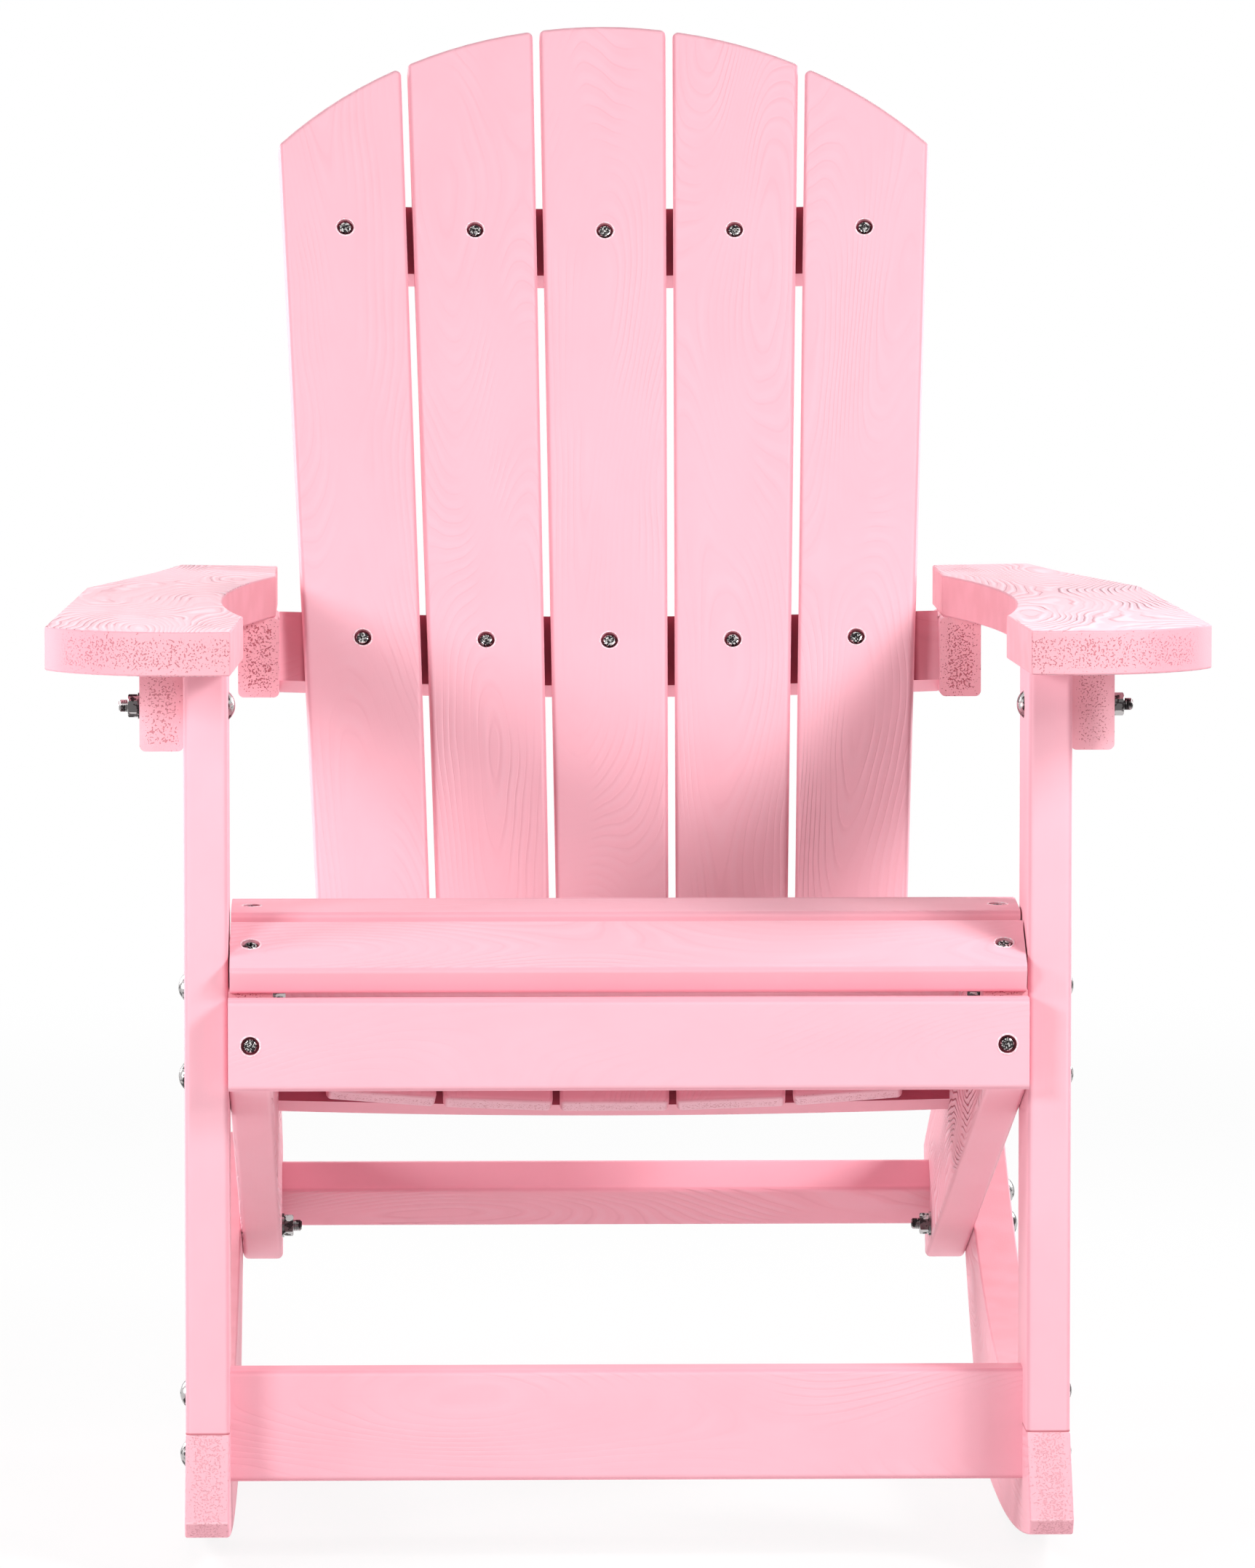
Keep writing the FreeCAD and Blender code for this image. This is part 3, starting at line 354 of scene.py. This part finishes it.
# A rocker's toe and the band below it get painted light in their sawn colour.
ROCKER = {"Grain": 1.2, "Pitting": 0.725, "Pit share": 0.25, "Pit reach": 60.0,
          "Sawn outline": 1.0, "Sawn": SAWN_LIGHTER}
ARM = {"Grain": 4.0, "Spacing": 5.5, "Wave": 2.2, "Pit share": 0.6, "Pit reach": 65.0,
       "Sawn outline": 1.0, "Contrast": 0.55, "Sawn": SAWN_LIGHT}
FRONT_BRACKET = {"Pit share": 0.55, "Sawn": SAWN_LIGHTER}
REAR_BRACKET = {"Pitting": 0.725, "Sawn": SAWN_LIGHT}

# The way that the rails' faces under the slats face, where they get painted shade, and half the
# length that is covered
SLAT_SIDE = Vector((0, -0.94, 0.34))
COVERED = {"back_rail_top": 300.0, "back_rail_middle": 214.0, "back_rail_lower": 300.0}
# How far each slat leans from the one beside it, and the way that a stringer runs
SLAT_FAN = 0.019
STRINGER_RUN = (0, 1, -0.29)


def lumber(name, hint, seed, kind):
    """Gives one CAD board a plastic lumber material in the board's own axes."""
    node = NODES[name]
    turned, middle, half = board_axes(node, Vector(hint))
    material, t, shader = new_material("lumber_" + name)
    shader["Specular IOR Level"].default_value = BOARD_SPECULAR
    seen = t.add("ShaderNodeTexCoord").outputs
    angles = turned.to_euler()
    place = t.add("ShaderNodeMapping", {"Vector": seen["Object"], "Rotation": angles,
                                        "Location": -middle}, vector_type="POINT").outputs[0]
    facing = t.add("ShaderNodeMapping", {"Vector": seen["Normal"], "Rotation": angles},
                   vector_type="NORMAL").outputs[0]
    board = t.add("ShaderNodeGroup", node_tree=LUMBER)
    for socket, source in {**PLAIN_BOARD, **kind, "Place": t.vector("MULTIPLY", place, PER_MM),
                           "Facing": facing, "Half": half / MM, "Seed": seed,
                           "Shaded": turned @ SLAT_SIDE}.items():
        t.put(board.inputs[socket], source)
    for socket, output in (("Base Color", "Colour"), ("Roughness", "Roughness"),
                           ("Normal", "Normal")):
        t.put(shader[socket], board.outputs[output])
    dress(node, material)


def dress_boards():
    """Every board gets its kind of lumber and a seed of its own."""
    for number in range(1, 6):
        lean = (number - 3) * SLAT_FAN
        lumber("back_slat_%d" % number, (lean, 0, 1), number * 1.7 + 0.3, BACK_SLAT)
    for number in range(1, 7):
        lumber("seat_slat_%d" % number, ACROSS, 11 + number * 1.3, SEAT_SLAT)
    for index, (name, covered) in enumerate(COVERED.items()):
        lumber(name, ACROSS, 23 + index * 2.1, {**BACK_RAIL, "Shaded half": covered})
    lumber("seat_apron", ACROSS, 29, APRON)
    lumber("front_stretcher", ACROSS, 31.1, FRONT_STRETCHER)
    lumber("rear_stretcher", ACROSS, 33.2, REAR_STRETCHER)
    for index, side in enumerate(("left", "right")):
        lumber("front_leg_" + side, UP, 37 + index, LEG)
        lumber("seat_stringer_" + side, STRINGER_RUN, 43.6 + index * 1.9, STRINGER)
        lumber("rocker_" + side, BACK, 47 + index, ROCKER)
        lumber("arm_" + side, BACK, 53 + index * 1.3, ARM)
        lumber("arm_front_bracket_" + side, BACK, 59 + index, FRONT_BRACKET)
        lumber("arm_rear_bracket_" + side, BACK, 61 + index, REAR_BRACKET)


# The lips round the screws' wells. A profile point says how far out from the lip's inner
# edge and how far above the board it is, in mm. The size of the patches of painted highlight
# on the lips is in metres.

HEAD_FLAT = 3.04 * MM
HEAD_FLAT_SLACK = 0.15 * MM
HEAD_FLAT_POINTS = 30
HEAD_SINK = 0.4 * MM
SAME_WAY = 0.9999
RIM_INNER = 5.95
RIM_PROFILE = ((0.0, -0.5), (0.0, 0.12), (0.3, 0.34), (0.75, 0.34), (1.15, 0.12), (1.25, -0.5))
RIM_STEPS = 40
RIM_PATCH_SIZE = 1 / 900
RIM_HIGHLIGHT_RAMP, RIM_ROUGHNESS = (0.35, 0.65), (0.3, 0.7, 0.2, 0.4)


def joined_faces(mesh):
    """The mesh's faces in groups, each group joined by shared points."""
    owner = list(range(len(mesh.vertices)))

    def root(index):
        while owner[index] != index:
            owner[index] = owner[owner[index]]
            index = owner[index]
        return index

    for face in mesh.polygons:
        first = root(face.vertices[0])
        for index in face.vertices[1:]:
            owner[root(index)] = first
    groups = {}
    for face in mesh.polygons:
        groups.setdefault(root(face.vertices[0]), []).append(face)
    return groups.values()


def screw_mouths():
    """Where each screw's well opens in its board, and which way it faces. A well is found
    by the flat round top of the screw's head, which lies sunk in it."""
    mouths = []
    for mesh in (node.data for name, node in NODES.items() if "screws" in name):
        for faces in joined_faces(mesh):
            normal = faces[0].normal
            if any(face.normal.dot(normal) < SAME_WAY for face in faces):
                continue
            points = {index: mesh.vertices[index].co for face in faces for index in face.vertices}
            low = Vector([min(point[i] for point in points.values()) for i in range(3)])
            high = Vector([max(point[i] for point in points.values()) for i in range(3)])
            middle = (low + high) / 2
            radius = max((point - middle).length for point in points.values())
            if len(points) > HEAD_FLAT_POINTS and abs(radius - HEAD_FLAT) < HEAD_FLAT_SLACK:
                mouths.append((middle + normal * HEAD_SINK, normal.copy()))
    return mouths


def rim_mesh():
    """One closed ring round every screw's well."""
    vertices, faces = [], []
    count = len(RIM_PROFILE)
    for middle, normal in screw_mouths():
        turned = normal.to_track_quat("Z", "Y")
        start = len(vertices)
        for step in range(RIM_STEPS):
            angle = math.tau * step / RIM_STEPS
            here, beyond = step * count, (step + 1) % RIM_STEPS * count
            for out, up in RIM_PROFILE:
                radius = RIM_INNER + out
                local = Vector((radius * math.cos(angle), radius * math.sin(angle), up)) * MM
                vertices.append(middle + turned @ local)
            for k in range(count):
                following = (k + 1) % count
                faces.append([start + index for index in (
                    here + k, beyond + k, beyond + following, here + following)])
    mesh = bpy.data.meshes.new("screw_rims")
    mesh.from_pydata(vertices, [], faces)
    mesh.update()
    for face in mesh.polygons:
        face.use_smooth = True
    return mesh


def make_rims():
    """The raised lip that each screw has pushed up round its well."""
    rims = bpy.data.objects.new("screw_rims", rim_mesh())
    bpy.context.scene.collection.objects.link(rims)
    material, t, shader = new_material("rim_skin")
    seen = t.add("ShaderNodeTexCoord").outputs["Object"]
    patches = t.noise(seen, (RIM_PATCH_SIZE,) * 3)
    # The lip's colour is a painted highlight in patches, which also set its roughness.
    t.put(shader["Base Color"], t.mix(t.ramp(patches, *RIM_HIGHLIGHT_RAMP), RIM_HIGHLIGHT, SKIN))
    t.put(shader["Roughness"], t.ramp(patches, *RIM_ROUGHNESS))
    rims.data.materials.append(material)
    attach(rims, "root")


# Steel fasteners, with sizes in mm

THREAD_PITCH = 1.25
THREAD_DEPTH = 0.9
BOLT_SMOOTH = (229.0, 317.0)
BLOTCH_HEIGHT, BLOTCH_EDGE = 0.1, 0.09
STEEL_ROUGHNESS = (0.3, 0.7, 0.14, 0.3)
ON_STEEL_FRONT = (0.6, 0.95)


def steel(name, bright, blotch_size, clean, front_reflection_dark, smooth=None):
    """Bright steel with dark blotches, where clean is the blotches' level below which none
    shows, and with a painted dark reflection on the faces to the front, as dark as the
    argument after clean says. A bolt's steel is threaded outside the smooth stretch, given as
    distances from the chair's middle."""
    material, t, shader = new_material(name)
    shader["Metallic"].default_value = 1.0
    seen = t.add("ShaderNodeTexCoord").outputs
    place = t.vector("MULTIPLY", seen["Object"], PER_MM)
    # Dark blotches in the steel's colour, roughness and height.
    blotch = t.noise(place, (blotch_size,) * 3, roughness=0.6)
    # Painted reflection: the faces to the front are darker.
    frontward = t.times(t.parts(seen["Normal"])[1], -1.0)
    front = t.times(t.ramp(frontward, *ON_STEEL_FRONT), front_reflection_dark)
    dark = t.math("MAXIMUM", t.ramp(blotch, clean, clean + BLOTCH_EDGE), front)
    t.put(shader["Base Color"], t.mix(dark, bright, DARK_STEEL))
    t.put(shader["Roughness"], t.ramp(blotch, *STEEL_ROUGHNESS))
    height = t.times(blotch, BLOTCH_HEIGHT)
    if smooth:
        aside = t.parts(t.vector("ABSOLUTE", place))[0]
        turn = t.math("PINGPONG", t.math("DIVIDE", aside, THREAD_PITCH), 0.5)
        inner, outer = smooth
        bare = t.math("MAXIMUM", t.math("LESS_THAN", aside, inner),
                      t.math("GREATER_THAN", aside, outer))
        height = t.plus(height, t.times(turn, bare, THREAD_DEPTH))
    t.put(shader["Normal"], t.bump(height))
    return material


def dress_fasteners():
    screws = steel("screw_steel", BRIGHT_STEEL, blotch_size=1.5, clean=0.41, front_reflection_dark=0.0)
    bolts = steel("bolt_steel", STEEL, blotch_size=6.0, clean=0.48, front_reflection_dark=0.7,
                  smooth=BOLT_SMOOTH)
    nuts = steel("nut_steel", STEEL, blotch_size=6.0, clean=0.48, front_reflection_dark=0.8)
    for name, node in NODES.items():
        if "screws" in name:
            dress(node, screws)
        elif "bolts" in name:
            dress(node, bolts)
        elif "bolt_" in name or name == "barrel_nuts":
            dress(node, nuts)


# Studio, in metres, degrees and watts, and the camera's lens and sensor in mm

FLOOR_SIZE = 60
FLOOR_DROP = 0.0004
FLOOR_GLOW = (0.8, 3.5, 0.88, 1.0)
AMBIENT = 0.02
LIT_POINT = Vector((0, 0, 0.6))
# Name, side, height, distance, size and power
LAMPS = (
    ("right_key", 51, 31, 2.2, (0.5, 0.5), 31),
    ("right_low_key", 40, 20, 2.2, (0.5, 0.5), 12),
    ("left_low_key", -35, 12, 2.2, (0.5, 0.5), 16),
    ("left_key", -65, 20, 2.2, (0.5, 0.5), 17),
    ("left_fill", -90, -3, 2.4, (0.8, 0.6), 12),
    ("rear_light", 180, 35, 2.6, (2.0, 0.8), 25),
    ("rear_left_light", -130, 10, 2.4, (0.8, 0.8), 22),
    ("rear_right_light", 130, 10, 2.4, (0.8, 0.8), 24))
CAMERA_PLACE = (-0.16272, -6.70179, 1.02593)
CAMERA_TURN = 1.458
CAMERA_DIP = 4.616
CAMERA_LENS = 227.63
CAMERA_SENSOR = 36
CAMERA_REACH = 100


def direct_rays(t):
    """1 for the rays that should meet a white background, which are the camera's own and
    those that metal sends on, and 0 for the rays that light the chair."""
    rays = t.add("ShaderNodeLightPath").outputs
    return t.math("MAXIMUM", rays["Is Camera Ray"],
                  t.math("MAXIMUM", rays["Is Glossy Ray"], rays["Is Transmission Ray"]))


def make_floor():
    """A pale floor that keeps the chair's shadow and turns white away from the chair."""
    bpy.ops.mesh.primitive_plane_add(size=FLOOR_SIZE, location=(0, 0, -FLOOR_DROP))
    floor = bpy.context.object
    floor.name = "floor"
    material = bpy.data.materials.new("floor_paint")
    material.use_nodes = True
    material.node_tree.nodes.clear()
    t = Tree(material.node_tree)
    paint = t.add("ShaderNodeBsdfDiffuse", {"Color": FLOOR_PAINT})
    white = t.add("ShaderNodeEmission", {"Color": WHITE, "Strength": 1.0})
    place = t.add("ShaderNodeTexCoord").outputs["Object"]
    away = t.add("ShaderNodeVectorMath", {0: place}, operation="LENGTH").outputs["Value"]
    share = t.times(direct_rays(t), t.ramp(away, *FLOOR_GLOW))
    shown = t.add("ShaderNodeMixShader", {0: share, 1: paint.outputs[0], 2: white.outputs[0]})
    t.add("ShaderNodeOutputMaterial", {"Surface": shown.outputs[0]})
    floor.data.materials.append(material)


def make_world():
    world = bpy.data.worlds.new("studio")
    bpy.context.scene.world = world
    world.use_nodes = True
    world.node_tree.nodes.clear()
    t = Tree(world.node_tree)
    strength = t.plus(t.times(direct_rays(t), 1.0 - AMBIENT), AMBIENT)
    sky = t.add("ShaderNodeBackground", {"Color": WHITE, "Strength": strength})
    t.add("ShaderNodeOutputWorld", {"Surface": sky.outputs[0]})


def softbox(name, side, height, distance, size, power):
    """A rectangular lamp that is aimed at the chair. Its side angle is 0 in front of the
    chair and grows to the right, and its height angle is 0 at the level of the lit point."""
    lamp = bpy.data.lights.new(name, "AREA")
    lamp.shape = "RECTANGLE"
    lamp.size, lamp.size_y = size
    lamp.energy = power
    box = bpy.data.objects.new(name, lamp)
    side, height = math.radians(side), math.radians(height)
    away = Vector((math.sin(side) * math.cos(height), -math.cos(side) * math.cos(height),
                   math.sin(height)))
    box.location = LIT_POINT + away * distance
    box.rotation_euler = away.to_track_quat("Z", "Y").to_euler()
    bpy.context.scene.collection.objects.link(box)


def make_camera():
    """The camera that the photo's parallel edges give, at its own distance and height."""
    lens = bpy.data.cameras.new("camera")
    lens.lens = CAMERA_LENS
    lens.sensor_width = CAMERA_SENSOR
    lens.clip_end = CAMERA_REACH
    camera = bpy.data.objects.new("camera", lens)
    camera.location = CAMERA_PLACE
    camera.rotation_euler = (math.radians(90 - CAMERA_DIP), 0, math.radians(-CAMERA_TURN))
    bpy.context.scene.collection.objects.link(camera)
    bpy.context.scene.camera = camera


make_camera()
dress_boards()
dress_fasteners()
make_rims()
make_floor()
make_world()
for lamp in LAMPS:
    softbox(*lamp)
bpy.context.scene.view_settings.view_transform = "Standard"
